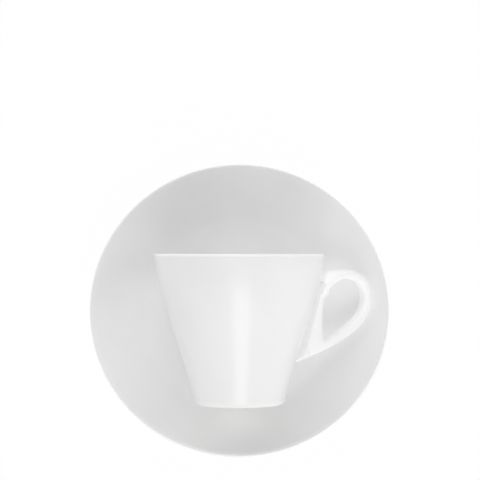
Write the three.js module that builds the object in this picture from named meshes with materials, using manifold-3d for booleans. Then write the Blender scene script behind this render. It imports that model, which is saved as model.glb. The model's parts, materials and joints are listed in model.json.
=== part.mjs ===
// Espresso cup and saucer in white porcelain, in millimetres, +Z up.
// The saucer stands on its foot ring at z = 0, centred on the Z axis.
// The cup lies on its side on the saucer, mouth towards +Y and handle towards +X.
import * as THREE from "three";
import { mergeVertices } from "three/addons/utils/BufferGeometryUtils.js";
import Module from "manifold-3d";

// Fits and fineness
const RESTING_GAP = 0.3; // between the lying cup and the saucer
const LUTING_GAP = 0.3; // on each side of the slip seam
const CUP_SIDES = 64;
const SAUCER_SIDES = 72;
const WALL_STEPS = 10;
const DISH_STEPS = 3;
const FLANGE_STEPS = 8;
const ROUND_STEPS = 4;
const EAR_STEPS = 9;
const EAR_EDGE_STEPS = 4;

// Cup body
const CUP_HEIGHT = 59;
const RIM_RADIUS = 33.5;
const HEEL_RADIUS = 18; // where the wall starts, above the rounded heel
const HEEL_ROUND = 2.6;
const WALL_BULGE = 1.5; // how far the wall swells past a straight cone
const BULGE_PLACE = 0.72; // share of the wall's height where it swells most
const LIP_FLARE = 0.5;
const LIP_THICKNESS = 2;
const WALL_THICKNESS = 3;
const FLOOR_THICKNESS = 4.2;
const FLOOR_ROUND = 7; // between the inner wall and the floor
const FOOT_RING_WIDTH = 2.8;
const FOOT_RECESS = 1.4;

// Handle: a closed ear, luted to the wall along its back
const EAR_WIDTH = 7.4;
const EAR_EDGE_ROUND = 1.5; // how far the edges are rounded off, seen from the side
const EAR_SIDE_ROUND = 2.7; // how far the edges are rounded off, seen from the end
const EAR_BAND = 4.0; // thickness of the loop
const EAR_STRAP = 4.2; // thickness of the back beyond the wall, at its upper root
const EAR_CROOK = 7.3; // how much thicker the back is where it joins the loop's top
const EAR_CROOK_CURVE = 9; // more makes the crook start higher up
const EAR_REACH = 55.4; // outermost point, from the cup's axis
const EAR_TOP_RADIUS = 44.4; // the top of the loop, from the cup's axis
const EAR_TOP_HEIGHT = 52.7;
const EAR_TIP_DROP = 12.2; // from the loop's top down to its outermost point
const EAR_NOTCH_DEPTH = 9.5; // from the loop's top down to its upper root
const EAR_NOTCH_WIDTH = 2.0; // how far the upper root stands off the wall
const EAR_ROOT_BOTTOM = 15.6;
const SLIP_THICKNESS = 0.6;
const SLIP_MARGIN = 1; // how far the slip stays inside the handle's back

// Saucer
const SAUCER_RADIUS = 60;
const SAUCER_HEIGHT = 19;
const WELL_RADIUS = 20; // the flat middle
const WELL_HEIGHT = 6;
const DISH_RISE = 3.2; // from the flat middle up to the flange
const FLANGE_RADIUS = 38; // where the flange starts
const SEAT_DEPTH = 0.8;
const SEAT_CLEARANCE = 1.2; // round the cup's foot
const SEAT_SLOPE = 1.5; // width of the slope round the seat
const FLANGE_CURVE = 1.15; // 1 is a straight cone, more curls up towards the edge
const SAUCER_THICKNESS = 3.6;
const EDGE_THICKNESS = 2.4;
const RING_RADIUS = 31;
const RING_WIDTH = 3.4;
const RING_FLARE = 1.2; // how much wider the ring is where it leaves the dish

// How the cup lies on the saucer
const LAY_OFFSET = -11.6; // middle of the cup along Y, from the saucer's centre

const PORCELAIN = { color: 0xf2f2f0, roughness: 0.12, metalness: 0 };
const SLIP = { color: 0xe8e6e0, roughness: 0.6, metalness: 0 };

const FOOT_RADIUS = HEEL_RADIUS - HEEL_ROUND;
const SEAT_RADIUS = FOOT_RADIUS + SEAT_CLEARANCE;
const EAR_ROOT_TOP = EAR_TOP_HEIGHT - EAR_NOTCH_DEPTH;

const wasm = await Module();
wasm.setup();

// Formulas of the turned walls

function share(value, low, high) {
  return THREE.MathUtils.clamp((value - low) / (high - low), 0, 1);
}

// Outer radius of the cup's wall at a height above its foot.
function wallRadius(height) {
  const t = share(height, HEEL_ROUND, CUP_HEIGHT);
  const cone = THREE.MathUtils.lerp(HEEL_RADIUS, RIM_RADIUS - LIP_FLARE, t);
  const swell = t ** (Math.log(0.5) / Math.log(BULGE_PLACE));
  return cone + WALL_BULGE * Math.sin(Math.PI * swell) + LIP_FLARE * t ** 8;
}

function innerRadius(height) {
  const t = share(height, FLOOR_THICKNESS, CUP_HEIGHT);
  return wallRadius(height) - THREE.MathUtils.lerp(WALL_THICKNESS, LIP_THICKNESS, t);
}

// Height of the saucer's upper face at a distance from its axis.
function saucerTop(radius) {
  if (radius <= WELL_RADIUS) {
    const t = share(radius, SEAT_RADIUS, SEAT_RADIUS + SEAT_SLOPE);
    return WELL_HEIGHT - SEAT_DEPTH * (1 - t);
  }
  const dish = WELL_HEIGHT + DISH_RISE * share(radius, WELL_RADIUS, FLANGE_RADIUS);
  const flange = share(radius, FLANGE_RADIUS, SAUCER_RADIUS) ** FLANGE_CURVE;
  return THREE.MathUtils.lerp(dish, SAUCER_HEIGHT, flange);
}

function saucerUnder(radius) {
  const t = share(radius, WELL_RADIUS, SAUCER_RADIUS);
  return saucerTop(radius) - THREE.MathUtils.lerp(SAUCER_THICKNESS, EDGE_THICKNESS, t);
}

// Profile points

function arc(x, y, radius, from, to, steps = ROUND_STEPS) {
  return Array.from({ length: steps + 1 }, (_, i) => {
    const angle = THREE.MathUtils.lerp(from, to, i / steps);
    return new THREE.Vector2(x + radius * Math.cos(angle), y + radius * Math.sin(angle));
  });
}

function follow(from, to, steps, point) {
  return Array.from({ length: steps + 1 }, (_, i) => point(THREE.MathUtils.lerp(from, to, i / steps)));
}

// Rounds the corners of a closed outline by cutting each of them off at a quarter.
function soften(points) {
  return points.flatMap((point, i) => {
    const next = points[(i + 1) % points.length];
    return [point.clone().lerp(next, 0.25), point.clone().lerp(next, 0.75)];
  });
}

// Solids

function turned(profile, sides) {
  return new THREE.LatheGeometry(profile, sides).rotateX(Math.PI / 2);
}

function solidOf(geometry) {
  const bare = geometry.clone();
  bare.deleteAttribute("normal");
  bare.deleteAttribute("uv");
  const merged = mergeVertices(bare);
  return new wasm.Manifold(
    new wasm.Mesh({
      numProp: 3,
      vertProperties: merged.attributes.position.array,
      triVerts: new Uint32Array(merged.index.array),
    }),
  );
}

function geometryOf(solid) {
  const { vertProperties, triVerts } = solid.getMesh();
  const geometry = new THREE.BufferGeometry();
  geometry.setAttribute("position", new THREE.BufferAttribute(vertProperties, 3));
  geometry.setIndex(new THREE.BufferAttribute(triVerts, 1));
  geometry.computeVertexNormals();
  return geometry;
}

// Cup

const onWall = (h) => new THREE.Vector2(wallRadius(h), h);
const onInside = (h) => new THREE.Vector2(innerRadius(h), h);

// From the foot's outer edge over the heel and the wall to the inner edge of the lip.
function cupOutside() {
  const lip = CUP_HEIGHT - LIP_THICKNESS / 2;
  const lipCentre = wallRadius(lip) - LIP_THICKNESS / 2;
  return [
    ...arc(FOOT_RADIUS, HEEL_ROUND, HEEL_ROUND, -Math.PI / 2, 0),
    ...follow(HEEL_ROUND, lip, WALL_STEPS, onWall).slice(1),
    ...arc(lipCentre, lip, LIP_THICKNESS / 2, 0, Math.PI).slice(1, -1),
  ];
}

function cupBody() {
  const floorStart = FLOOR_THICKNESS + FLOOR_ROUND;
  const recess = FOOT_RADIUS - FOOT_RING_WIDTH;
  const floorRadius = innerRadius(floorStart) - FLOOR_ROUND;
  const profile = [
    new THREE.Vector2(0, FOOT_RECESS),
    new THREE.Vector2(recess - FOOT_RECESS, FOOT_RECESS),
    new THREE.Vector2(recess, 0),
    ...cupOutside(),
    ...follow(CUP_HEIGHT - LIP_THICKNESS / 2, floorStart, WALL_STEPS, onInside),
    ...arc(floorRadius, floorStart, FLOOR_ROUND, 0, -Math.PI / 2).slice(1),
    new THREE.Vector2(0, FLOOR_THICKNESS),
  ];
  return turned(profile, CUP_SIDES);
}

// The space inside the cup's outer wall, grown by a gap.
function wallSpace(gap) {
  const profile = [
    new THREE.Vector2(0, 0),
    ...follow(0, CUP_HEIGHT, 2 * WALL_STEPS, (h) => new THREE.Vector2(wallRadius(h) + gap, h)),
    new THREE.Vector2(0, CUP_HEIGHT),
  ];
  return solidOf(turned(profile, CUP_SIDES));
}

// Outer edge of the loop, from its lower root over the tip and the top to its upper root.
function earLoop() {
  const low = onWall(EAR_ROOT_BOTTOM);
  const tip = new THREE.Vector2(EAR_REACH, EAR_TOP_HEIGHT - EAR_TIP_DROP);
  const top = new THREE.Vector2(EAR_TOP_RADIUS, EAR_TOP_HEIGHT);
  const high = onWall(EAR_ROOT_TOP).setX(wallRadius(EAR_ROOT_TOP) + EAR_NOTCH_WIDTH);
  const mix = (a, b, right, up) =>
    new THREE.Vector2(THREE.MathUtils.lerp(a.x, b.x, right), THREE.MathUtils.lerp(a.y, b.y, up));
  const strut = new THREE.CubicBezierCurve(low, mix(low, tip, 0.48, 0.21), mix(low, tip, 1, 0.55), tip);
  const bow = new THREE.CubicBezierCurve(tip, mix(tip, top, 0, 0.6), mix(tip, top, 0.38, 1), top);
  const crook = new THREE.CubicBezierCurve(top, mix(top, high, 0.8, 0), mix(top, high, 0.68, 0.1), high);
  return [strut, bow, crook].flatMap((curve, i) => curve.getPoints(EAR_STEPS).slice(i ? 1 : 0));
}

// The loop moved inwards by its own thickness, with a back that runs along the cup's axis.
function fingerHole(loop) {
  const inset = loop.slice(1, -1).map((point, i) => {
    const along = loop[i + 2].clone().sub(loop[i]).normalize();
    return new THREE.Vector2(point.x - EAR_BAND * along.y, point.y + EAR_BAND * along.x);
  });
  const backRadius = wallRadius(EAR_ROOT_TOP) + EAR_STRAP;
  const crook = (h) => EAR_CROOK * share(h, EAR_ROOT_BOTTOM, EAR_TOP_HEIGHT - EAR_BAND) ** EAR_CROOK_CURVE;
  const strap = (h) => new THREE.Vector2(backRadius + crook(h), h);
  const clear = inset.filter((point) => point.x > strap(point.y).x);
  const back = follow(clear.at(-1).y, clear[0].y, 2 * EAR_STEPS, strap).slice(1, -1);
  return soften([...clear, ...back]);
}

function earSolid() {
  const loop = earLoop();
  const buried = (height) => new THREE.Vector2(wallRadius(height) / 2, height);
  const ends = [buried(EAR_ROOT_TOP + EAR_BAND), buried(EAR_ROOT_BOTTOM)];
  const outline = new THREE.Shape([...loop, ...ends]);
  outline.holes.push(new THREE.Path(fingerHole(loop)));
  const plate = new THREE.ExtrudeGeometry(outline, {
    depth: EAR_WIDTH - 2 * EAR_SIDE_ROUND,
    bevelThickness: EAR_SIDE_ROUND,
    bevelSize: EAR_EDGE_ROUND,
    bevelOffset: -EAR_EDGE_ROUND,
    bevelSegments: EAR_EDGE_STEPS,
  });
  plate.translate(0, 0, EAR_SIDE_ROUND - EAR_WIDTH / 2);
  return solidOf(plate.rotateX(Math.PI / 2));
}

const SLIP_OUTSIDE = LUTING_GAP + SLIP_THICKNESS;

function cupHandle() {
  return geometryOf(earSolid().subtract(wallSpace(SLIP_OUTSIDE + LUTING_GAP)));
}

// The seam of slip follows the wall behind the handle.
function handleSlip() {
  const height = EAR_ROOT_TOP - EAR_ROOT_BOTTOM - 2 * (EAR_BAND / 2 + SLIP_MARGIN);
  const width = EAR_WIDTH - 2 * (EAR_SIDE_ROUND / 2 + SLIP_MARGIN);
  const seam = new THREE.BoxGeometry(EAR_REACH, width, height);
  seam.translate(EAR_REACH / 2, 0, (EAR_ROOT_TOP + EAR_ROOT_BOTTOM) / 2);
  const skin = wallSpace(SLIP_OUTSIDE).subtract(wallSpace(LUTING_GAP));
  return geometryOf(solidOf(seam).intersect(skin));
}

// Saucer

function saucer() {
  const edge = SAUCER_RADIUS - EDGE_THICKNESS / 2;
  const under = WELL_HEIGHT - SEAT_DEPTH - SAUCER_THICKNESS;
  const ringInside = RING_RADIUS - RING_WIDTH;
  const onTop = (r) => new THREE.Vector2(r, saucerTop(r));
  const onUnder = (r) => new THREE.Vector2(r, saucerUnder(r));
  const middle = (saucerTop(edge) + saucerUnder(edge)) / 2;
  const rim = arc(edge, middle, EDGE_THICKNESS / 2, -Math.PI / 2, Math.PI / 2);
  const profile = [
    new THREE.Vector2(0, under),
    new THREE.Vector2(ringInside - RING_FLARE, under),
    new THREE.Vector2(ringInside, 0),
    new THREE.Vector2(RING_RADIUS, 0),
    ...follow(RING_RADIUS + RING_FLARE, edge, FLANGE_STEPS, onUnder).slice(0, -1),
    ...rim,
    ...follow(edge, FLANGE_RADIUS, FLANGE_STEPS, onTop).slice(1),
    ...follow(FLANGE_RADIUS, WELL_RADIUS, DISH_STEPS, onTop).slice(1),
    onTop(SEAT_RADIUS + SEAT_SLOPE),
    onTop(SEAT_RADIUS),
    onTop(0),
  ];
  return turned(profile, SAUCER_SIDES);
}

// Lying pose

function solve(low, high, tooLow) {
  for (let i = 0; i < 50; i += 1) {
    const middle = (low + high) / 2;
    if (tooLow(middle)) low = middle;
    else high = middle;
  }
  return (low + high) / 2;
}

// Gap below a point, or none beyond the saucer's edge.
function gapBelow(point) {
  const radius = Math.hypot(point.x, point.y);
  return radius < SAUCER_RADIUS ? point.z - saucerTop(radius) : Infinity;
}

// Place of the cup's frame for a lean of the mouth and a roll of the handle.
function lying(lean, roll, lift) {
  const turn = new THREE.Matrix4().makeRotationX(lean - Math.PI / 2);
  turn.multiply(new THREE.Matrix4().makeRotationZ(roll));
  const foot = LAY_OFFSET - (CUP_HEIGHT / 2) * Math.cos(lean);
  return turn.setPosition(0, foot, lift);
}

function smallestGap(points, place) {
  return Math.min(...points.map((point) => gapBelow(point.clone().applyMatrix4(place))));
}

// The cup leans until its lip and its heel are equally close, and rolls until the handle is.
function restingPlace(handle) {
  const low = cupOutside().map((point) => new THREE.Vector3(0, point.x, point.y));
  const heel = low.filter((point) => point.z < CUP_HEIGHT / 2);
  const mouth = low.filter((point) => point.z >= CUP_HEIGHT / 2);
  const noseDown = (lean) => smallestGap(mouth, lying(lean, 0, 0)) < smallestGap(heel, lying(lean, 0, 0));
  const lean = solve(0, Math.PI / 4, noseDown);
  const lift = RESTING_GAP - smallestGap(low, lying(lean, 0, 0));
  const { position } = handle.attributes;
  const corner = (_, i) => new THREE.Vector3().fromBufferAttribute(position, i);
  const ear = Array.from({ length: position.count }, corner);
  const roll = solve(0, Math.PI / 3, (angle) => smallestGap(ear, lying(lean, angle, lift)) > RESTING_GAP);
  return lying(lean, roll, lift);
}

// Assembly

function piece(name, geometry, finish) {
  const mesh = new THREE.Mesh(geometry, new THREE.MeshStandardMaterial(finish));
  mesh.name = name;
  return mesh;
}

const handle = cupHandle();
const cup = new THREE.Group();
cup.name = "cup";
cup.applyMatrix4(restingPlace(handle));
cup.add(piece("cup_body", cupBody(), PORCELAIN));
cup.add(piece("cup_handle", handle, PORCELAIN));
cup.add(piece("handle_slip", handleSlip(), SLIP));

const set = new THREE.Group();
set.name = "espresso_cup_and_saucer";
set.add(piece("saucer", saucer(), PORCELAIN));
set.add(cup);

export default set;
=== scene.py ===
import json
import logging
import math
from dataclasses import dataclass
from enum import Enum
from typing import Callable, Optional, Sequence, Union

import bpy
from mathutils import Matrix, Vector


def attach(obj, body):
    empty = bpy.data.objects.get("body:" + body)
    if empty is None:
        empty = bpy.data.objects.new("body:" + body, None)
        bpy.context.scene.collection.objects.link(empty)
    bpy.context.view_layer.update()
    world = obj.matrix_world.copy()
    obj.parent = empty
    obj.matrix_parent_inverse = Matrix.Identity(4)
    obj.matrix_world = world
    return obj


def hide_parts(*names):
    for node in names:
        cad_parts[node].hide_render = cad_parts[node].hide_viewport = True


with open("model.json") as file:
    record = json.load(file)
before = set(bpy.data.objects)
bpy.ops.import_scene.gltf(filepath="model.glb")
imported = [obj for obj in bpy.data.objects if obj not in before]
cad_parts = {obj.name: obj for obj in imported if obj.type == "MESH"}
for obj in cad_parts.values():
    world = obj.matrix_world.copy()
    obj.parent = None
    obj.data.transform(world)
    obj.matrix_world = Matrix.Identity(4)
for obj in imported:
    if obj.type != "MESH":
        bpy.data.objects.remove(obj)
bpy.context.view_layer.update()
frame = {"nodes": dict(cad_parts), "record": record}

MM = 0.001
PARALLEL = 1e-15
OWN_PLACE = "own_place"
LOG = logging.getLogger("espresso")

Point = tuple[float, float]
Bend = tuple[Point, Point]
Colour = tuple[float, float, float]
Term = Union["Wire", float]


class Body(Enum):
    """The CAD bodies that pieces ride on."""

    SAUCER = "saucer"
    CUP = "cup"


class Edge(Enum):
    """How the place of a piece's painted edge highlight is measured."""

    NONE = "none"
    RADIUS = "radius"
    HEIGHT = "height"


class Wire:
    """A shader value: one output socket, with arithmetic that makes Math nodes."""

    def __init__(self, graph: "Graph", socket: Optional[bpy.types.NodeSocket]) -> None:
        """Keeps the graph and the socket.

        Args:
            graph: the graph that the socket belongs to.
            socket: the output socket to read, or None behind a node without outputs.
        """
        self.graph = graph
        self.socket = socket

    def math(self, operation: str, *terms: Term) -> "Wire":
        """Feeds terms to one Math node.

        Args:
            operation: the Math node's operation.
            terms: the node's inputs in order, wires or numbers.

        Returns:
            The node's result.
        """
        return self.graph.node("ShaderNodeMath", {"operation": operation}, dict(enumerate(terms)))

    def __add__(self, other: Term) -> "Wire":
        """Returns self + other."""
        return self.math("ADD", self, other)

    def __radd__(self, other: Term) -> "Wire":
        """Returns other + self."""
        return self.math("ADD", other, self)

    def __sub__(self, other: Term) -> "Wire":
        """Returns self - other."""
        return self.math("SUBTRACT", self, other)

    def __rsub__(self, other: Term) -> "Wire":
        """Returns other - self."""
        return self.math("SUBTRACT", other, self)

    def __mul__(self, other: Term) -> "Wire":
        """Returns self * other."""
        return self.math("MULTIPLY", self, other)

    def __rmul__(self, other: Term) -> "Wire":
        """Returns other * self."""
        return self.math("MULTIPLY", other, self)

    def __pow__(self, other: Term) -> "Wire":
        """Returns self to the power of other."""
        return self.math("POWER", self, other)

    def ramp(self, low: float, high: float) -> "Wire":
        """Maps low to 0 and high to 1, smoothly and clamped.

        Args:
            low: the value that gives 0.
            high: the value that gives 1.

        Returns:
            The mapped value.
        """
        settings = {"interpolation_type": "SMOOTHSTEP"}
        return self.graph.node("ShaderNodeMapRange", settings, {0: self, 1: low, 2: high, 3: 0.0, 4: 1.0})


class Graph:
    """The node tree of one material or of the world."""

    def __init__(self, tree: bpy.types.NodeTree) -> None:
        """Empties the tree.

        Args:
            tree: the node tree to fill.
        """
        self.tree = tree
        tree.nodes.clear()

    def node(self, kind: str, settings: dict, values: dict, out: Union[int, str] = 0) -> Wire:
        """Makes any node.

        Args:
            kind: the node's type name.
            settings: attributes to set on the node.
            values: input socket, by index or name, to a wire or a plain value.
            out: the output socket to return, by index or name.

        Returns:
            The chosen output.
        """
        made = self.tree.nodes.new(kind)
        for key, value in settings.items():
            setattr(made, key, value)
        for key, value in values.items():
            if isinstance(value, Wire):
                self.tree.links.new(value.socket, made.inputs[key])
            else:
                made.inputs[key].default_value = value
        return Wire(self, made.outputs[out] if len(made.outputs) else None)

    def own_place(self) -> Wire:
        """Returns the position in the piece's own frame."""
        return self.node("ShaderNodeAttribute", {"attribute_name": OWN_PLACE}, {}, "Vector")

    def split(self, place: Wire) -> list[Wire]:
        """Returns the three components of a vector."""
        return [self.node("ShaderNodeSeparateXYZ", {}, {0: place}, i) for i in range(3)]

    def noise(self, place: Wire, size: float, detail: float) -> Wire:
        """Makes plain noise.

        Args:
            place: the position.
            size: how wide one cell of the noise is.
            detail: octaves.

        Returns:
            The noise, about 0 to 1.
        """
        values = {"Vector": place, "Scale": 1.0 / size, "Detail": detail}
        return self.node("ShaderNodeTexNoise", {}, values)

    def mix(self, amount: Term, first: Union[Wire, Colour], second: Union[Wire, Colour]) -> Wire:
        """Mixes two colours.

        Args:
            amount: how much of the second colour shows.
            first: the colour at 0.
            second: the colour at 1.

        Returns:
            The mixed colour.
        """
        values = {0: amount, 6: as_rgba(first), 7: as_rgba(second)}
        return self.node("ShaderNodeMix", {"data_type": "RGBA"}, values, 2)


def as_rgba(colour: Union[Wire, Colour]) -> Union[Wire, tuple[float, ...]]:
    """Adds an alpha of 1 to a plain colour.

    Args:
        colour: a wire, or red, green and blue.

    Returns:
        The wire itself, or the colour with alpha.
    """
    return colour if isinstance(colour, Wire) else (*colour, 1.0)


def grey(level: float) -> Colour:
    """Returns a neutral colour."""
    return level, level, level


def new_material(name: str) -> tuple[bpy.types.Material, Graph]:
    """Makes a material with an empty graph.

    Args:
        name: the material's name.

    Returns:
        The material and its graph.
    """
    made = bpy.data.materials.new(name)
    made.use_nodes = True
    return made, Graph(made.node_tree)


@dataclass(frozen=True)
class Porcelain:
    """White porcelain under a clear gloss glaze, with a highlight painted whiter along an edge, and a
    bare foot ring.
    """

    name: str
    body: Colour = grey(0.80)
    pooled: Colour = grey(0.77)
    # Painted highlight: the colour laid along the edge, whiter than the body.
    lit_tone: Colour = grey(0.98)
    edge: Edge = Edge.NONE
    edge_from: float = 0.0
    edge_until: float = 1.0 * MM
    bare: Colour = (0.70, 0.68, 0.65)
    bare_grain: Colour = (0.62, 0.60, 0.57)
    bare_rough: float = 0.75
    bare_below: float = 0.35 * MM
    bare_until: float = 0.8 * MM
    gloss: float = 0.30
    cloud_rough: float = 0.05
    mark_rough: float = 0.03
    coat: float = 0.35
    coat_rough: float = 0.10
    glass: float = 1.5
    cloud: float = 28.0 * MM
    cloud_range: Point = (0.3, 0.75)
    grain: float = 1.1 * MM
    grain_depth: float = 0.06 * MM
    speck: float = 0.7 * MM
    speck_range: Point = (0.76, 0.82)
    speck_tone: Colour = (0.45, 0.42, 0.38)
    speck_strength: float = 0.10
    mark_turns: Point = (0.4, 1.9)
    marks_across: Point = (900.0, 1100.0)
    marks_along: float = 26.0
    mark_range: Point = (0.70, 0.76)
    wave: float = 9.0 * MM
    wave_depth: float = 0.02 * MM

    def material(self, wear: float = 0.0) -> bpy.types.Material:
        """Builds the glaze.

        Args:
            wear: how strongly fine cutlery marks roughen the surface, 0 to 1.

        Returns:
            The material.
        """
        made, graph = new_material(self.name)
        place = graph.own_place()
        glazed = graph.split(place)[2].ramp(self.bare_below, self.bare_until)
        cloud = graph.noise(place, self.cloud, 3.0)
        fine = graph.noise(place, self.grain, 4.0)
        speck = graph.noise(place, self.speck, 1.0).ramp(*self.speck_range)
        cloudy = graph.mix(cloud.ramp(*self.cloud_range), self.body, self.pooled)
        # Painted highlight: the base colour turns whiter in a band along the edge.
        tone = graph.mix(self.painted_edge_highlight(graph, place), cloudy, self.lit_tone)
        dotted = graph.mix(speck * self.speck_strength, tone, self.speck_tone)
        clay = graph.mix(fine, self.bare, self.bare_grain)
        colour = graph.mix(glazed, clay, dotted)
        marks = self.marks(graph, place) * wear
        smooth = self.gloss + cloud * self.cloud_rough + marks * self.mark_rough
        rough = glazed * (smooth - self.bare_rough) + self.bare_rough
        values = {
            "Base Color": colour,
            "Roughness": rough,
            "Coat Weight": glazed * self.coat,
            "Coat Roughness": self.coat_rough,
            "Coat IOR": self.glass,
            "IOR": self.glass,
            "Normal": self.bump(graph, place, fine, glazed),
        }
        shader = graph.node("ShaderNodeBsdfPrincipled", {}, values)
        graph.node("ShaderNodeOutputMaterial", {}, {0: shader})
        return made

    def painted_edge_highlight(self, graph: Graph, place: Wire) -> Term:
        """Tells where a highlight is painted whiter along the piece's edge.

        Args:
            graph: the graph to build in.
            place: the position.

        Returns:
            1 on the edge and 0 elsewhere.
        """
        if self.edge is Edge.NONE:
            return 0.0
        across, along, up = graph.split(place)
        away = up if self.edge is Edge.HEIGHT else (across * across + along * along) ** 0.5
        return away.ramp(self.edge_from, self.edge_until)

    def marks(self, graph: Graph, place: Wire) -> Wire:
        """Makes faint straight marks, such as a spoon leaves.

        Args:
            graph: the graph to build in.
            place: the position.

        Returns:
            1 on a mark and 0 elsewhere.
        """
        total = 0.0
        for turn, stretch in zip(self.mark_turns, self.marks_across):
            scale = (stretch, self.marks_along, self.marks_along)
            lines = graph.node("ShaderNodeMapping", {}, {0: place, 2: (0.0, 0.0, turn), 3: scale})
            total = graph.noise(lines, 1.0, 1.0).ramp(*self.mark_range) + total
        return total

    def bump(self, graph: Graph, place: Wire, fine: Wire, glazed: Wire) -> Wire:
        """Makes the glaze's slow waves and the bare clay's grain.

        Args:
            graph: the graph to build in.
            place: the position.
            fine: the fine noise.
            glazed: 1 on glaze and 0 on bare clay.

        Returns:
            The bent normal.
        """
        slow = graph.noise(place, self.wave, 1.0) * self.wave_depth
        height = slow + (1.0 - glazed) * fine * self.grain_depth
        return graph.node("ShaderNodeBump", {}, {"Strength": 1.0, "Distance": 1.0, "Height": height})


@dataclass(frozen=True)
class FiredSlip:
    """The satin seam of fired slip round a handle, with shade painted darker beside the wall, in the
    crease between the wall and the handle.

    The wall is taken as a straight cone there.
    """

    name: str
    # Painted shade: the first two colours are darker, for the crease beside the wall where shade falls;
    # the third is the lighter slip away from it.
    tone: Colour = grey(0.80)
    shade: Colour = grey(0.77)
    lit_tone: Colour = grey(0.92)
    wall_at: float = 16.95 * MM
    wall_slope: float = 0.303
    shade_until: float = 1.6 * MM
    lit_from: float = 4.6 * MM
    lump: float = 1.6 * MM
    lump_depth: float = 0.05 * MM
    lump_range: Point = (0.35, 0.75)
    lump_rough: float = 0.2
    rough: float = 0.40
    coat: float = 0.3
    coat_rough: float = 0.15

    def material(self) -> bpy.types.Material:
        """Builds the seam's finish.

        Returns:
            The material.
        """
        made, graph = new_material(self.name)
        place = graph.own_place()
        lumps = graph.noise(place, self.lump, 3.0)
        lumpy = graph.mix(lumps.ramp(*self.lump_range), self.tone, self.shade)
        out, _, up = graph.split(place)
        # Painted shade: the slip is darkest next to the wall and lightens away from it.
        shade_fade = (out - up * self.wall_slope - self.wall_at).ramp(self.shade_until, self.lit_from)
        colour = graph.mix(shade_fade, lumpy, self.lit_tone)
        raised = {"Strength": 1.0, "Distance": 1.0, "Height": lumps * self.lump_depth}
        values = {
            "Base Color": colour,
            "Roughness": self.rough + lumps * self.lump_rough,
            "Coat Weight": self.coat,
            "Coat Roughness": self.coat_rough,
            "Normal": graph.node("ShaderNodeBump", {}, raised),
        }
        shader = graph.node("ShaderNodeBsdfPrincipled", {}, values)
        graph.node("ShaderNodeOutputMaterial", {}, {0: shader})
        return made


def share(value: float, low: float, high: float) -> float:
    """Tells how far a value is between two others.

    Args:
        value: the value.
        low: where the share is 0.
        high: where the share is 1.

    Returns:
        The share, held between 0 and 1.
    """
    return min(1.0, max(0.0, (value - low) / (high - low)))


def lerp(first: float, second: float, part: float) -> float:
    """Goes part of the way from one number to another.

    Args:
        first: the number at 0.
        second: the number at 1.
        part: how far to go.

    Returns:
        The number between them.
    """
    return first + (second - first) * part


def follow(start: float, end: float, steps: int, point: Callable[[float], Point]) -> list[Point]:
    """Samples a formula at even stations.

    Args:
        start: the first station.
        end: the last station.
        steps: how many steps lie between them.
        point: gives the point at a station.

    Returns:
        The points, both ends included.
    """
    return [point(lerp(start, end, i / steps)) for i in range(steps + 1)]


def arc(centre: Point, radius: float, start: float, end: float, steps: int = 12) -> list[Point]:
    """Samples a round.

    Args:
        centre: the round's centre.
        radius: its radius.
        start: the first angle in degrees.
        end: the last angle in degrees.
        steps: how many steps lie between them.

    Returns:
        The points, both ends included.
    """
    def at(angle: float) -> Point:
        """Returns the point at an angle in degrees."""
        turn = math.radians(angle)
        return centre[0] + radius * math.cos(turn), centre[1] + radius * math.sin(turn)

    return follow(start, end, steps, at)


def respaced(line: Sequence[Point], step: float) -> list[Point]:
    """Spreads points evenly along a line.

    Args:
        line: the corners of the line.
        step: the wanted spacing.

    Returns:
        Points about that far apart, with both ends kept.
    """
    lengths = [math.dist(a, b) for a, b in zip(line, line[1:])]
    count = max(2, round(sum(lengths) / step))
    made = [line[0]]
    walked = 0.0
    edge = 0
    for i in range(1, count):
        wanted = sum(lengths) * i / count
        while walked + lengths[edge] < wanted:
            walked += lengths[edge]
            edge += 1
        part = (wanted - walked) / lengths[edge]
        start, end = line[edge], line[edge + 1]
        made.append((lerp(start[0], end[0], part), lerp(start[1], end[1], part)))
    return [*made, line[-1]]


def softened(line: Sequence[Point], rounds: int) -> list[Point]:
    """Rounds a line's corners by averaging neighbours, as a glaze does.

    Args:
        line: evenly spaced points.
        rounds: how often to average.

    Returns:
        The rounded line, with its ends kept.
    """
    made = list(line)
    for _ in range(rounds):
        inner = [
            (0.25 * a[0] + 0.5 * b[0] + 0.25 * c[0], 0.25 * a[1] + 0.5 * b[1] + 0.25 * c[1])
            for a, b, c in zip(made, made[1:], made[2:])
        ]
        made = [made[0], *inner, made[-1]]
    return made


def cubic(start: Vector, end: Vector, bend: Bend, steps: int = 40) -> list[Vector]:
    """Samples a cubic whose handles are shares of the way from start to end.

    Args:
        start: the first point.
        end: the last point.
        bend: each handle's shares across and up.
        steps: how many steps lie between the ends.

    Returns:
        The sampled points.
    """
    def handle(part: Point) -> Vector:
        """Returns the handle at shares of the way."""
        return Vector((lerp(start.x, end.x, part[0]), lerp(start.y, end.y, part[1])))

    a, b = (handle(part) for part in bend)
    made = []
    for i in range(steps + 1):
        t = i / steps
        s = 1 - t
        made.append(start * s**3 + a * 3 * s * s * t + b * 3 * s * t * t + end * t**3)
    return made


def closed_tube(sections: int, around: int) -> list[tuple[int, ...]]:
    """Joins closed sections into a closed ring of a tube.

    Args:
        sections: how many sections there are.
        around: how many points each has.

    Returns:
        The faces.
    """
    faces = []
    for i in range(sections):
        here, there = i * around, (i + 1) % sections * around
        for k in range(around):
            after = (k + 1) % around
            faces.append((here + k, there + k, there + after, here + after))
    return faces


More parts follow.
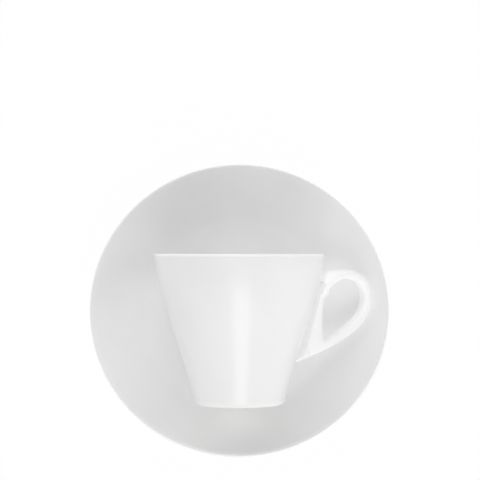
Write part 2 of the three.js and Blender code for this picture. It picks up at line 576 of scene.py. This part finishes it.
def mesh_object(name: str, points: list[Vector], faces: list[tuple[int, ...]]) -> bpy.types.Object:
    """Makes a smooth mesh object whose vertices remember their places in the piece's own frame.

    Args:
        name: the object's name.
        points: its vertices.
        faces: its faces, facing out.

    Returns:
        The object, linked to the scene.
    """
    mesh = bpy.data.meshes.new(name)
    mesh.from_pydata(points, [], faces)
    own = mesh.attributes.new(OWN_PLACE, "FLOAT_VECTOR", "POINT")
    own.data.foreach_set("vector", [part for point in points for part in point])
    mesh.shade_smooth()
    made = bpy.data.objects.new(name, mesh)
    bpy.context.scene.collection.objects.link(made)
    return made


def turned(name: str, profile: Sequence[Point], sides: int) -> bpy.types.Object:
    """Turns a profile round the Z axis.

    Args:
        name: the object's name.
        profile: radius and height, from the axis below to the axis above.
        sides: how many sides the turned body has.

    Returns:
        The closed body.
    """
    rings = profile[1:-1]
    points = [Vector((0.0, 0.0, profile[0][1]))]
    for i in range(sides):
        turn = math.tau * i / sides
        points += [Vector((r * math.cos(turn), r * math.sin(turn), z)) for r, z in rings]
    top, count = len(points), len(rings)
    points.append(Vector((0.0, 0.0, profile[-1][1])))
    faces = []
    for i in range(sides):
        here, there = 1 + i * count, 1 + (i + 1) % sides * count
        faces.append((0, there, here))
        faces += [(here + k, there + k, there + k + 1, here + k + 1) for k in range(count - 1)]
        faces.append((here + count - 1, there + count - 1, top))
    return mesh_object(name, points, faces)


def dressed(
    piece: bpy.types.Object, finish: bpy.types.Material, slot: str, body: Body, *nodes: str
) -> bpy.types.Object:
    """Gives a piece its finish and its body, and hides the CAD nodes that it stands for.

    Args:
        piece: the piece.
        finish: its material.
        slot: the record's material slot; not used.
        body: the body that it rides on.
        nodes: the CAD nodes that it replaces.

    Returns:
        The dressed piece.
    """
    piece.data.materials.append(finish)
    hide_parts(*nodes)
    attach(piece, body.value)
    return piece


@dataclass
class Saucer:
    """The dished saucer with its foot ring, well, cup seat and flange."""

    radius: float = 60 * MM
    height: float = 19 * MM
    well_radius: float = 20 * MM
    well_height: float = 6 * MM
    dish_rise: float = 3.2 * MM
    flange_radius: float = 38 * MM
    flange_curve: float = 1.15
    seat_radius: float = 16.6 * MM
    seat_depth: float = 0.8 * MM
    seat_slope: float = 1.5 * MM
    thickness: float = 3.6 * MM
    edge: float = 2.4 * MM
    ring_radius: float = 31 * MM
    ring_width: float = 3.4 * MM
    ring_flare: float = 1.2 * MM
    steps: int = 40
    spacing: float = 0.4 * MM
    softness: int = 6
    sides: int = 288

    def top(self, r: float) -> float:
        """Gives the height of the upper face.

        Args:
            r: distance from the axis.

        Returns:
            The height above the table.
        """
        if r <= self.well_radius:
            step = share(r, self.seat_radius, self.seat_radius + self.seat_slope)
            return self.well_height - self.seat_depth * (1 - step)
        dish = self.well_height + self.dish_rise * share(r, self.well_radius, self.flange_radius)
        return lerp(dish, self.height, share(r, self.flange_radius, self.radius) ** self.flange_curve)

    def under(self, r: float) -> float:
        """Gives the height of the lower face outside the foot ring.

        Args:
            r: distance from the axis.

        Returns:
            The height above the table.
        """
        return self.top(r) - lerp(self.thickness, self.edge, share(r, self.well_radius, self.radius))

    def profile(self) -> list[Point]:
        """Draws half of the saucer's section.

        Returns:
            The points from the axis below, over the rim, to the axis above.
        """
        edge = self.radius - self.edge / 2
        middle = (self.top(edge) + self.under(edge)) / 2
        below = self.well_height - self.seat_depth - self.thickness
        inside = self.ring_radius - self.ring_width
        line = [(0.0, below), (inside - self.ring_flare, below), (inside, 0.0), (self.ring_radius, 0.0)]
        line += follow(self.ring_radius + self.ring_flare, edge, self.steps, lambda r: (r, self.under(r)))
        line += arc((edge, middle), self.edge / 2, -90, 90)[1:-1]
        line += follow(edge, self.well_radius, self.steps, lambda r: (r, self.top(r)))
        line += [(r, self.top(r)) for r in (self.seat_radius + self.seat_slope, self.seat_radius, 0.0)]
        return softened(respaced(line, self.spacing), self.softness)

    def build(self, finish: Porcelain) -> bpy.types.Object:
        """Builds and dresses the saucer.

        Args:
            finish: its glaze.

        Returns:
            The saucer.
        """
        piece = turned("saucer_glazed", self.profile(), self.sides)
        return dressed(piece, finish.material(wear=1.0), "saucer_porcelain", Body.SAUCER, "saucer")


@dataclass
class CupWall:
    """The sizes of the cup's turned body, in its own frame with the foot at 0."""

    height: float = 59 * MM
    rim_radius: float = 33.5 * MM
    heel_radius: float = 18 * MM
    heel_round: float = 2.6 * MM
    bulge: float = 1.5 * MM
    bulge_place: float = 0.72
    flare: float = 0.5 * MM
    flare_curve: float = 8.0
    lip: float = 2 * MM
    thickness: float = 3 * MM
    floor: float = 4.2 * MM
    floor_round: float = 7 * MM
    ring_width: float = 2.8 * MM
    recess: float = 1.4 * MM
    steps: int = 80
    spacing: float = 0.35 * MM
    softness: int = 4
    sides: int = 256

    def outside(self, h: float) -> float:
        """Gives the wall's outer radius.

        Args:
            h: height above the foot.

        Returns:
            The radius.
        """
        t = share(h, self.heel_round, self.height)
        cone = lerp(self.heel_radius, self.rim_radius - self.flare, t)
        swell = t ** (math.log(0.5) / math.log(self.bulge_place))
        return cone + self.bulge * math.sin(math.pi * swell) + self.flare * t**self.flare_curve

    def inside(self, h: float) -> float:
        """Gives the wall's inner radius.

        Args:
            h: height above the foot.

        Returns:
            The radius.
        """
        return self.outside(h) - lerp(self.thickness, self.lip, share(h, self.floor, self.height))

    def profile(self) -> list[Point]:
        """Draws half of the cup's section.

        Returns:
            The points from the axis below, over the lip, to the axis above the floor.
        """
        lip = self.height - self.lip / 2
        foot = self.heel_radius - self.heel_round
        ring = foot - self.ring_width
        start = self.floor + self.floor_round
        line = [(0.0, self.recess), (ring - self.recess, self.recess), (ring, 0.0)]
        line += arc((foot, self.heel_round), self.heel_round, -90, 0)
        line += follow(self.heel_round, lip, self.steps, lambda h: (self.outside(h), h))[1:]
        line += arc((self.outside(lip) - self.lip / 2, lip), self.lip / 2, 0, 180)[1:-1]
        line += follow(lip, start, self.steps, lambda h: (self.inside(h), h))
        line += arc((self.inside(start) - self.floor_round, start), self.floor_round, 0, -90)[1:]
        return softened(respaced([*line, (0.0, self.floor)], self.spacing), self.softness)

    def build(self, finish: Porcelain, place: Matrix) -> bpy.types.Object:
        """Builds and dresses the cup's body.

        Args:
            finish: its glaze.
            place: where the cup lies.

        Returns:
            The body.
        """
        piece = turned("cup_body_glazed", self.profile(), self.sides)
        piece.data.transform(place)
        return dressed(piece, finish.material(), "cup_porcelain", Body.CUP, "cup_body")


@dataclass
class EarHandle:
    """The closed ear with its teardrop finger hole, luted to the wall."""

    wall: CupWall
    width: float = 7.4 * MM
    band: float = 4 * MM
    strap: float = 4.2 * MM
    crook: float = 7.3 * MM
    crook_curve: float = 9.0
    reach: float = 55.4 * MM
    top_radius: float = 44.4 * MM
    top_height: float = 52.7 * MM
    tip_drop: float = 12.2 * MM
    notch_depth: float = 9.5 * MM
    notch_width: float = 2 * MM
    root_bottom: float = 15.6 * MM
    strut_bend: Bend = ((0.48, 0.21), (1.0, 0.55))
    bow_bend: Bend = ((0.0, 0.6), (0.38, 1.0))
    crook_bend: Bend = ((0.8, 0.0), (0.68, 0.1))
    sunk: float = 1.2 * MM
    fullness: float = 2.7
    steps: int = 40
    spacing: float = 0.4 * MM
    softness: int = 6
    hole_start: int = 40
    hole_softness: int = 8
    stations: int = 240
    around: int = 40

    @property
    def root_top(self) -> float:
        """The height of the upper root, at the bottom of the notch."""
        return self.top_height - self.notch_depth

    def loop(self) -> list[Vector]:
        """Draws the loop's outer edge.

        Returns:
            Points from the lower root over the tip and the top to the upper root.
        """
        low = Vector((self.wall.outside(self.root_bottom), self.root_bottom))
        tip = Vector((self.reach, self.top_height - self.tip_drop))
        top = Vector((self.top_radius, self.top_height))
        high = Vector((self.wall.outside(self.root_top) + self.notch_width, self.root_top))
        strut = cubic(low, tip, self.strut_bend)
        bow = cubic(tip, top, self.bow_bend)
        crook = cubic(top, high, self.crook_bend)
        return [*strut, *bow[1:], *crook[1:]]

    def hole(self, loop: list[Vector]) -> list[Vector]:
        """Draws the finger hole: the loop moved inwards, closed along the strap.

        Its ring starts and ends away from the corners, which are softened.

        Args:
            loop: the loop's outer edge.

        Returns:
            The hole's closed outline.
        """
        inset = []
        for before, here, after in zip(loop, loop[1:], loop[2:]):
            along = (after - before).normalized()
            inset.append(here + Vector((-along.y, along.x)) * self.band)
        clear = [tuple(p) for p in inset if p.x > self.strap_edge(p.y)]
        back = follow(clear[-1][1], clear[0][1], self.steps, lambda h: (self.strap_edge(h), h))
        ring = [*clear[self.hole_start:], *back[1:-1], *clear[:self.hole_start + 1]]
        return [Vector(p) for p in softened(respaced(ring, self.spacing), self.hole_softness)[:-1]]

    def outline(self, loop: list[Vector]) -> list[Vector]:
        """Draws the ear's outer edge: the loop, closed a little inside the wall.

        Args:
            loop: the loop's outer edge.

        Returns:
            The ear's closed outline.
        """
        def inside(h: float) -> Point:
            """Returns the point inside the wall at a height."""
            return self.wall.outside(h) - self.sunk, h

        back = follow(loop[-1].y + self.band, self.root_bottom, self.steps, inside)
        line = respaced([*(tuple(p) for p in loop), *back], self.spacing)
        return [Vector(p) for p in softened(line, self.softness)]

    def strap_edge(self, h: float) -> float:
        """Gives the hole's edge on the wall's side.

        Args:
            h: height above the foot.

        Returns:
            The distance from the cup's axis.
        """
        part = share(h, self.root_bottom, self.top_height - self.band)
        root = self.wall.outside(self.root_top)
        return root + self.strap + self.crook * part**self.crook_curve

    def build(self, finish: Porcelain, place: Matrix) -> bpy.types.Object:
        """Builds and dresses the handle.

        Args:
            finish: its glaze.
            place: where the cup lies.

        Returns:
            The handle.
        """
        loop = self.loop()
        hole = self.hole(loop)
        centre = sum(hole, Vector((0.0, 0.0))) / len(hole)
        edges = [self.rays(shape, centre) for shape in (self.outline(loop), hole)]
        points = []
        for outer, inner in zip(*edges):
            middle, half = (outer + inner) / 2, (outer - inner) / 2
            for k in range(self.around):
                across, along = self.rounded(math.tau * k / self.around)
                spot = middle + half * across
                points.append(Vector((spot.x, self.width / 2 * along, spot.y)))
        piece = mesh_object("cup_handle_glazed", points, closed_tube(self.stations, self.around))
        piece.data.transform(place)
        return dressed(piece, finish.material(), "handle_porcelain", Body.CUP, "cup_handle")

    def rounded(self, turn: float) -> Point:
        """Gives a point of the band's rounded section.

        Args:
            turn: the angle round the section.

        Returns:
            Shares of half the thickness and of half the width.
        """
        cosine, sine = math.cos(turn), math.sin(turn)
        power = 2 / self.fullness
        return math.copysign(abs(cosine) ** power, cosine), math.copysign(abs(sine) ** power, sine)

    def rays(self, shape: list[Vector], centre: Vector) -> list[Vector]:
        """Samples an outline at even angles round a centre.

        Args:
            shape: the closed outline.
            centre: a point inside it.

        Returns:
            One point for each station.
        """
        made = []
        for i in range(self.stations):
            turn = math.tau * i / self.stations
            ray = Vector((math.cos(turn), math.sin(turn)))
            found = []
            for a, b in zip(shape, [*shape[1:], shape[0]]):
                edge, to = b - a, a - centre
                cross = ray.cross(edge)
                if abs(cross) < PARALLEL:
                    continue
                reach, part = to.cross(edge) / cross, to.cross(ray) / cross
                if 0 <= part <= 1 and reach > 0:
                    found.append(reach)
            made.append(centre + ray * min(found))
        return made


@dataclass
class SlipFillet:
    """The bead of slip, wiped smooth, between the wall and the handle's root.

    The feather is how far its thin edge dips into the wall, and the lean how far it leans on the handle.
    """

    wall: CupWall
    ear: EarHandle
    half_width: float = 3.8 * MM
    up_wall: float = 2.2 * MM
    out_low: float = 5.6 * MM
    out_high: float = 3.2 * MM
    notch_fill: float = 4.5 * MM
    notch_reach: float = 4.2 * MM
    sunk: float = 0.6 * MM
    feather: float = 0.1 * MM
    lean: float = 0.15 * MM
    spacing: float = 0.5 * MM
    softness: int = 8
    across: int = 10

    def path(self) -> list[Point]:
        """Draws the edge of the root on the unrolled wall.

        Returns:
            Points across and up, round from the middle of the lower end.
        """
        low = self.ear.root_bottom + self.up_wall
        high = self.ear.root_top + self.notch_fill
        wide = self.half_width
        corners = [(0.0, low), (wide, low), (wide, high), (-wide, high), (-wide, low), (0.0, low)]
        return softened(respaced(corners, self.spacing), self.softness)[:-1]

    def on_wall(self, across: float, h: float, out: float) -> Vector:
        """Rolls a point back on the wall.

        Args:
            across: distance across the root, along the wall.
            h: height above the foot.
            out: distance out of the wall.

        Returns:
            The point in the cup's frame.
        """
        radius = self.wall.outside(h)
        turn = across / radius
        return Vector((radius * math.cos(turn) + out, radius * math.sin(turn), h))

    def section(self, before: Point, here: Point, after: Point) -> list[Vector]:
        """Draws the bead across one place of the root's edge.

        Args:
            before: the edge's point before it.
            here: the place.
            after: the edge's point after it.

        Returns:
            The closed section.
        """
        along = (Vector(after) - Vector(before)).normalized()
        aside = Vector((along.y, -along.x))
        root = self.ear.root_top
        out = lerp(self.out_low, self.out_high, share(here[1], self.ear.root_bottom, root))
        out = lerp(out, self.notch_reach, share(here[1], root, root + self.notch_fill))
        foot = Vector(here) + aside * self.up_wall
        start = self.on_wall(foot.x, foot.y, -self.feather)
        corner = self.on_wall(*here, 0.0)
        end = self.on_wall(here[0] - math.copysign(self.lean, here[0]), here[1], out)
        made = []
        for i in range(self.across + 1):
            t = i / self.across
            made.append(start * (1 - t) ** 2 + corner * 2 * t * (1 - t) + end * t * t)
        deep = Vector(here) - aside * self.sunk
        return [*made, self.on_wall(*deep, out), self.on_wall(*deep, -self.sunk)]

    def build(self, finish: FiredSlip, place: Matrix) -> bpy.types.Object:
        """Builds and dresses the bead.

        Args:
            finish: its finish.
            place: where the cup lies.

        Returns:
            The bead.
        """
        path = self.path()
        count = len(path)
        sections = [self.section(path[i - 1], path[i], path[(i + 1) % count]) for i in range(count)]
        points = [point for ring in sections for point in ring]
        piece = mesh_object("handle_slip_fired", points, closed_tube(count, len(sections[0])))
        piece.data.transform(place)
        return dressed(piece, finish.material(), "slip", Body.CUP, "handle_slip")


@dataclass
class CupPlace:
    """Where the cup lies, read from the CAD nodes."""

    matrix: Matrix

    @classmethod
    def read(cls) -> "CupPlace":
        """Reads the cup's axis from its foot's mount and the rest from its nodes.

        Returns:
            The cup's place.
        """
        mounts = {mount["name"]: mount for mount in frame["record"]["mounts"]}
        axis = -Vector(mounts["cup_foot"]["axis"]).normalized()
        body = [v.co.copy() for v in frame["nodes"]["cup_body"].data.vertices]
        flat = 0.05 * MM
        lowest = min(p.dot(axis) for p in body)
        ring = [p for p in body if p.dot(axis) < lowest + flat]
        lows, highs = zip(*((min(c), max(c)) for c in zip(*ring)))
        foot = (Vector(lows) + Vector(highs)) / 2
        ear = [v.co.copy() for v in frame["nodes"]["cup_handle"].data.vertices]
        away = sum(ear, Vector()) / len(ear) - foot
        side = (away - axis * away.dot(axis)).normalized()
        turn = Matrix((side, axis.cross(side), axis)).transposed()
        return cls(Matrix.Translation(foot) @ turn.to_4x4())

    @property
    def foot(self) -> Vector:
        """The middle of the cup's foot."""
        return self.matrix.translation

    @property
    def axis(self) -> Vector:
        """The cup's axis, from the foot to the mouth."""
        return self.matrix.to_3x3().col[2].normalized()


@dataclass
class PhotoCamera:
    """The photograph's camera: level with the cup's rim, seen from over the saucer."""

    distance: float = 690 * MM
    focal_px: float = 1769.0
    image_px: float = 480.0
    rim_px: Point = (239.4, 253.5)
    sensor: float = 36.0
    clip: Point = (0.01, 20.0)

    def build(self, place: CupPlace, wall: CupWall) -> None:
        """Places the camera so that the rim's middle lands on its pixel.

        Args:
            place: where the cup lies.
            wall: the cup's sizes.
        """
        axis = place.axis
        rim = place.foot + axis * wall.height
        over = (Vector((0, 0, 1)) - axis * axis.z).normalized()
        drop = math.atan((self.rim_px[1] - self.image_px / 2) / self.focal_px)
        back = over * math.cos(drop) - axis * math.sin(drop)
        up = axis * math.cos(drop) + over * math.sin(drop)
        right = up.cross(back)
        aside = (self.image_px / 2 - self.rim_px[0]) / self.focal_px * self.distance
        data = bpy.data.cameras.new("photo_camera")
        data.sensor_width = self.sensor
        data.lens = self.focal_px / self.image_px * self.sensor
        data.clip_start, data.clip_end = self.clip
        made = bpy.data.objects.new("photo_camera", data)
        bpy.context.scene.collection.objects.link(made)
        turn = Matrix((right, up, back)).transposed().to_4x4()
        made.matrix_world = Matrix.Translation(rim + over * self.distance + right * aside) @ turn
        bpy.context.scene.camera = made


def heading(azimuth: float, elevation: float) -> Vector:
    """Points from the object towards a light.

    Args:
        azimuth: degrees from +X towards +Y.
        elevation: degrees above the floor.

    Returns:
        The direction, of length 1.
    """
    turn, rise = math.radians(azimuth), math.radians(elevation)
    return Vector((math.cos(turn) * math.cos(rise), math.sin(turn) * math.cos(rise), math.sin(rise)))


@dataclass(frozen=True)
class Glow:
    """A soft patch of light on the white tent round the object."""

    azimuth: float
    strength: float
    elevation: float = 30.0
    sharpness: float = 8.0

    def radiance(self, looked: list[Wire]) -> Wire:
        """Gives the patch's light.

        Args:
            looked: the components of the direction that is looked at.

        Returns:
            The radiance.
        """
        aim = heading(self.azimuth, self.elevation)
        facing = looked[0] * aim.x + looked[1] * aim.y + looked[2] * aim.z
        return facing.math("MAXIMUM", facing, 0.0) ** self.sharpness * self.strength


@dataclass(frozen=True)
class Panel:
    """A flat soft light."""

    name: str
    spot: tuple[float, float, float]
    size: Point
    watts: float
    shadows: bool = True
    mirrored: bool = True
    aim: tuple[float, float, float] = (0.0, 0.0, 30 * MM)

    @classmethod
    def fill(cls, name: str, azimuth: float, elevation: float, watts: float) -> "Panel":
        """Makes a far light that throws no shadow and that the glaze doesn't mirror.

        Args:
            name: the light's name.
            azimuth: degrees from +X towards +Y.
            elevation: degrees above the floor.
            watts: its power.

        Returns:
            The fill light.
        """
        spot = heading(azimuth, elevation) * FILL_DISTANCE
        return cls(name, tuple(spot), FILL_SIZE, watts, shadows=False, mirrored=False)

    def build(self) -> None:
        """Hangs the light so that it faces the object."""
        data = bpy.data.lights.new(self.name, "AREA")
        data.shape = "RECTANGLE"
        data.size, data.size_y = self.size
        data.energy = self.watts
        data.use_shadow = self.shadows
        made = bpy.data.objects.new(self.name, data)
        made.visible_glossy = self.mirrored
        spot = Vector(self.spot)
        made.location = spot
        made.rotation_euler = (Vector(self.aim) - spot).to_track_quat("-Z", "Y").to_euler()
        bpy.context.scene.collection.objects.link(made)


FILL_DISTANCE = 1.2
FILL_SIZE = (0.5, 0.5)
GLOWS = (
    Glow(0, 0.43),
    Glow(90, 2.26),
    Glow(135, 0.5),
    Glow(270, 1.33),
    Glow(315, 1.36),
)
PANELS = (
    Panel.fill("right_fill", 0, 18, 0.64),
    Panel.fill("right_high_fill", 0, 50, 0.6),
    Panel.fill("back_fill", 90, 18, 2.17),
    Panel.fill("left_fill", 180, 18, 3.15),
    Panel.fill("front_high_fill", 270, 50, 2.95),
    Panel("front_panel", (0.045, -0.59, 0.56), (0.32, 0.22), 0.41),
)


@dataclass
class Studio:
    """A white floor inside a softly lit white tent."""

    floor_size: float = 6.0
    floor_drop: float = 0.2 * MM
    floor_colour: Colour = grey(0.85)
    floor_white: float = 0.98
    white: Colour = grey(1.0)

    def build(self, glows: Sequence[Glow], panels: Sequence[Panel]) -> None:
        """Builds the floor, the tent and the lights.

        Args:
            glows: the tent's bright patches.
            panels: the flat lights.
        """
        self.floor()
        self.tent(glows)
        for panel in panels:
            panel.build()
        LOG.info("studio: floor, tent with %d glows, %d panels", len(glows), len(panels))

    def backdrop(self, graph: Graph) -> Wire:
        """Tells which rays see the white backdrop and not the light on it.

        Args:
            graph: the graph to build in.

        Returns:
            1 for camera, mirror and glass rays, and 0 for the others.
        """
        kinds = ("Is Camera Ray", "Is Glossy Ray", "Is Transmission Ray")
        camera, mirror, glass = (graph.node("ShaderNodeLightPath", {}, {}, kind) for kind in kinds)
        rays = camera + mirror + glass
        return rays.math("MINIMUM", rays, 1.0)

    def floor(self) -> None:
        """Lays the floor, which is white to the camera and keeps a faint shadow."""
        half = self.floor_size / 2
        around = ((-half, -half), (half, -half), (half, half), (-half, half))
        corners = [Vector((x, y, -self.floor_drop)) for x, y in around]
        plane = mesh_object("floor", corners, [(0, 1, 2, 3)])
        made, graph = new_material("floor_white")
        seen = self.backdrop(graph)
        matt = graph.node("ShaderNodeBsdfDiffuse", {}, {"Color": as_rgba(self.floor_colour)})
        glow = graph.node("ShaderNodeEmission", {}, {"Color": as_rgba(self.white), "Strength": 1.0})
        both = graph.node("ShaderNodeMixShader", {}, {0: seen * self.floor_white, 1: matt, 2: glow})
        graph.node("ShaderNodeOutputMaterial", {}, {0: both})
        plane.data.materials.append(made)

    def tent(self, glows: Sequence[Glow]) -> None:
        """Sets the world: white to the camera, softly patched to everything else.

        Args:
            glows: the bright patches.
        """
        made = bpy.data.worlds.new("tent")
        made.use_nodes = True
        graph = Graph(made.node_tree)
        looked = graph.split(graph.node("ShaderNodeTexCoord", {}, {}, "Generated"))
        seen = self.backdrop(graph)
        light = sum((glow.radiance(looked) for glow in glows), 0.0)
        level = seen + (1.0 - seen) * light
        shade = graph.node("ShaderNodeBackground", {}, {"Color": as_rgba(self.white), "Strength": level})
        graph.node("ShaderNodeOutputWorld", {}, {0: shade})
        bpy.context.scene.world = made


def saucer_glaze(saucer: Saucer) -> Porcelain:
    """Returns the saucer's glaze, with a highlight painted on the rim."""
    # Painted highlight: the base colour turns whiter over the outer millimetre of the rim.
    rim = {"edge_from": saucer.radius - 1.0 * MM, "edge_until": saucer.radius - 0.3 * MM}
    return Porcelain("saucer_porcelain", edge=Edge.RADIUS, **rim)


def cup_glaze(wall: CupWall) -> Porcelain:
    """Returns the cup's glaze, with a highlight painted on the lip, and which leaves the flat of the foot
    bare.
    """
    # Painted highlight: the base colour turns whiter over the top millimetre and a half of the lip.
    lip = {"edge_from": wall.height - 1.5 * MM, "edge_until": wall.height - 0.7 * MM}
    foot = {"bare_below": 0.05 * MM, "bare_until": 0.25 * MM}
    # Painted light: the cup's porcelain is given lighter than the saucer's, as a lit copy of the same
    # porcelain.
    return Porcelain("cup_porcelain", grey(0.895), grey(0.865), edge=Edge.HEIGHT, **lip, **foot)


def handle_glaze() -> Porcelain:
    """Returns the handle's glaze."""
    # Painted light: the handle's porcelain is given lighter still than the cup's, as a lit copy of the
    # same porcelain.
    return Porcelain("handle_porcelain", grey(0.93), grey(0.90))


def main() -> None:
    """Builds the camera, every piece in order and the studio, and reports the pieces."""
    logging.basicConfig(level=logging.INFO, format="%(name)s %(message)s")
    bpy.context.scene.view_settings.view_transform = "Standard"
    place = CupPlace.read()
    saucer = Saucer()
    wall = CupWall()
    ear = EarHandle(wall)
    slip = SlipFillet(wall, ear)
    PhotoCamera().build(place, wall)
    pieces = (
        saucer.build(saucer_glaze(saucer)),
        wall.build(cup_glaze(wall), place.matrix),
        ear.build(handle_glaze(), place.matrix),
        slip.build(FiredSlip("slip"), place.matrix),
    )
    for piece in pieces:
        LOG.info("%s: %d faces", piece.name, len(piece.data.polygons))
    Studio().build(GLOWS, PANELS)


if __name__ == "__main__":
    main()
